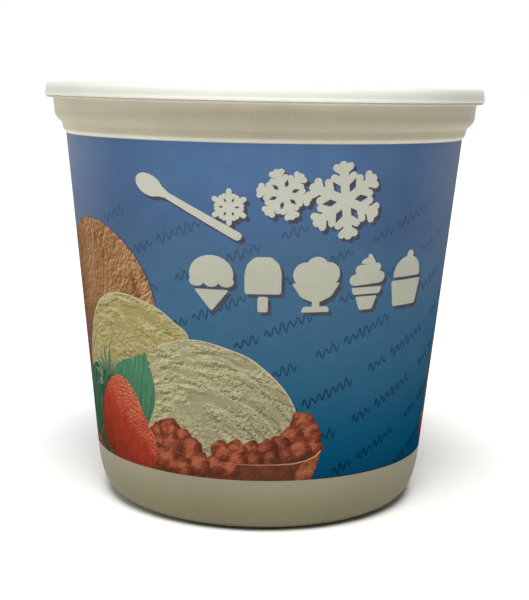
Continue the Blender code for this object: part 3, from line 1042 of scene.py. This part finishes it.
def inks():
    """The materials of the fields. A field names its ink."""
    brown_rings = (-86, 66), (0.48, 0.14)
    return [
        blue_ink("blue_ground", GROUND_STRENGTHS),
        blue_ink("deep_blue_lines", WAVE_STRENGTHS),
        # Painted shade along the label's lower edge.
        flat_ink("painted_edge_shade", (8, 46, 62), (14, 54, 72)),
        flat_ink("slate_shade", (66, 68, 80), (74, 76, 88)),
        white_ink(),
        flat_ink("pale_edge", (164, 160, 128), (180, 176, 146)),
        crumb_ink(
            "pink_ice", [(0.34, (90, 60, 59)), (0.5, (112, 78, 75)), (0.68, (134, 104, 98))],
            (-127, 40), (0.2, 0.45), (0.5, 0.4, 0.7)),
        flat_ink("brown_shade", (62, 74, 92), (72, 86, 104)),
        crumb_ink(
            "brown_ice",
            [(0.36, (92, 58, 36)), (0.46, (131, 93, 61)), (0.54, (150, 114, 79)), (0.64, (186, 154, 116))],
            *brown_rings, (0.75, 0.3, 0.22, 0.62)),
        crumb_ink(
            "brown_dark", [(0.38, (96, 56, 34)), (0.5, (124, 80, 50)), (0.64, (156, 114, 78))],
            *brown_rings, (0.5, 0.4, 0.8)),
        crumb_ink(
            "pale_crumb", [(0.38, (120, 82, 54)), (0.5, (150, 116, 82)), (0.62, (186, 160, 122))],
            *brown_rings, (0.5, 0.4, 0.9)),
        ice_ink(
            "yellow_ice", (112, 104, 62), (162, 151, 106), (186, 175, 134), (141, 129, 82),
            (-66, 34), (0.065, 0.15), (-0.2, 0.5, 0.84)),
        ice_ink(
            "vanilla_ice", (106, 102, 70), (162, 156, 122), (186, 180, 149), (136, 132, 101),
            (-32, 4), (0.065, 0.16), (-0.35, 0.5, 0.68)),
        leaf_ink("green_leaf", (44, 96, 68), (68, 117, 88), (92, 130, 102), 78),
        leaf_ink("dark_leaf", (36, 70, 54), (50, 87, 67), (72, 108, 84), 60),
        leaf_ink("olive_leaf", (48, 56, 38), (60, 68, 46), (78, 86, 60), 40),
        leaf_ink("sepal", (66, 92, 70), (98, 118, 92), (150, 158, 124), 80),
        strawberry_ink(),
        berry_ink("red_berry", (76, 41, 30), (112, 56, 39), (160, 90, 64)),
        berry_ink("deep_berry", (66, 36, 27), (94, 48, 34), (136, 74, 53)),
        flat_ink("berry_gap", (82, 44, 32), (104, 54, 38)),
        berry_ink("raspberry", (70, 38, 36), (106, 56, 50), (140, 88, 80), 0.4),
        berry_ink("dark_dish", (70, 39, 29), (88, 51, 38), (112, 64, 46), 0.15, 0.03),
        berry_ink("lit_dish", (82, 46, 31), (126, 68, 44), (156, 96, 68), 0.2, 0.03),
        rim_ink(),
    ]


# --- Printed label: the film

STRIP_DEGREES, ROW_MM = 2.5, 14


def lattice():
    """Lines that cut the label into strips, so that the flat pieces follow the wall."""
    strips = round(2 * TILE_DEGREES / STRIP_DEGREES)
    rows = round((HIGH_MM - LOW_MM) / ROW_MM)
    xs = [LEFT_MM + (RIGHT_MM - LEFT_MM) * i / strips for i in range(strips + 1)]
    zs = [LOW_MM + (HIGH_MM - LOW_MM) * i / rows for i in range(rows + 1)]
    lines = [((x, LOW_MM), (x, HIGH_MM)) for x in xs] + [((LEFT_MM, z), (RIGHT_MM, z)) for z in zs]
    return [end for line in lines for end in line], [(2 * i, 2 * i + 1) for i in range(len(lines))]


def cut_fields(fields):
    """Points of the label, and its triangles, each with the field that shows there."""
    points, edges = lattice()
    faces = []
    for _, outline, _ in fields:
        faces.append(list(range(len(points), len(points) + len(outline))))
        points += outline
    flat = [Vector(p) for p in points]
    made, _, triangles, _, _, sources = delaunay_2d_cdt(flat, edges, faces, 0, 1e-6, True)
    kept = []
    for corners, over in zip(triangles, sources):
        middle = sum((made[c] for c in corners), Vector((0, 0))) / 3
        if over and LEFT_MM < middle.x < RIGHT_MM and LOW_MM < middle.y < HIGH_MM:
            kept.append((corners, max(over)))
    return made, kept


def film_shell(flat, kept):
    """Both faces of the film and its edges. Each point has a normal and a place in the picture,
    and each face has its field and its side: 1 outside, -1 inside and 0 along an edge."""
    used = sorted({c for corners, _ in kept for c in corners})
    number = {c: i for i, c in enumerate(used)}
    count = len(used)
    tilt = math.atan((LABEL_HIGH_R - LABEL_LOW_R) / (LABEL_HIGH_Z - LABEL_LOW_Z))
    points, normals = [], []
    for depth in (0, FILM):
        for c in used:
            turn, z = flat[c].x / MID_RADIUS_MM - math.pi / 2, flat[c].y * MM
            x, y = math.cos(turn), math.sin(turn)
            radius = wall_radius(z) - depth
            points.append((radius * x, radius * y, z))
            normals.append(Vector((x * math.cos(tilt), y * math.cos(tilt), -math.sin(tilt))))
    faces, sides = [], {}
    for corners, field in kept:
        a, b, c = (number[k] for k in corners)
        faces += [((a, b, c), field, 1), ((c + count, b + count, a + count), field, -1)]
        for edge in ((a, b), (b, c), (c, a)):
            sides[edge] = field
    for (a, b), field in sides.items():
        if (b, a) not in sides:
            faces.append(((b, a, a + count, b + count), field, 0))
    return points, normals, [flat[c] for c in used] * 2, faces


def extents(fields):
    """Middle and half size of each field, and the shift of its copy."""
    made = []
    for _, outline, shift in fields:
        xs, zs = zip(*outline)
        middle = (min(xs) + max(xs)) / 2, (min(zs) + max(zs)) / 2
        made.append((*middle, (max(xs) - min(xs)) / 2, (max(zs) - min(zs)) / 2, shift))
    return made


def wrap_film(name, fields, materials):
    """The label as one closed film that lies in the seat of the wall."""
    points, normals, places, faces = film_shell(*cut_fields(fields))
    mesh = bpy.data.meshes.new(name)
    mesh.from_pydata(points, [], [corners for corners, _, _ in faces])
    for material in materials:
        mesh.materials.append(material)
    numbers = {material.name: i for i, material in enumerate(materials)}
    sizes = extents(fields)
    art = mesh.attributes.new("art", "FLOAT_VECTOR", "CORNER")
    spot = mesh.attributes.new("spot", "FLOAT_VECTOR", "CORNER")
    shown = []
    for face, (_, field, side) in zip(mesh.polygons, faces):
        face.material_index = numbers[fields[field][0]]
        face.use_smooth = side != 0
        x, z, wide, high, shift = sizes[field]
        for corner in face.loop_indices:
            vertex = mesh.loops[corner].vertex_index
            place = places[vertex]
            art.data[corner].vector = (place.x - shift, place.y, 0)
            spot.data[corner].vector = ((place.x - x) / wide, (place.y - z) / high, 0)
            shown.append(normals[vertex] * side if side else face.normal)
    mesh.normals_split_custom_set(shown)
    return placed(name, mesh)


# --- The whole


def main():
    make_studio()
    make_camera()
    tub = turned("tub_body", foot() + label_seat() + collar() + lip() + flange(), tub_finish())
    lid = turned("lid_body", lid_top() + lid_bead() + lid_underside(), lid_finish())
    label = wrap_film("label_film", pictures(), inks())
    for node, piece, slot in (
            ("tub", tub, "tub_plastic"), ("lid", lid, "lid_plastic"), ("label", label, "label_print")):
        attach(piece, "root")
        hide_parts(node)


main()
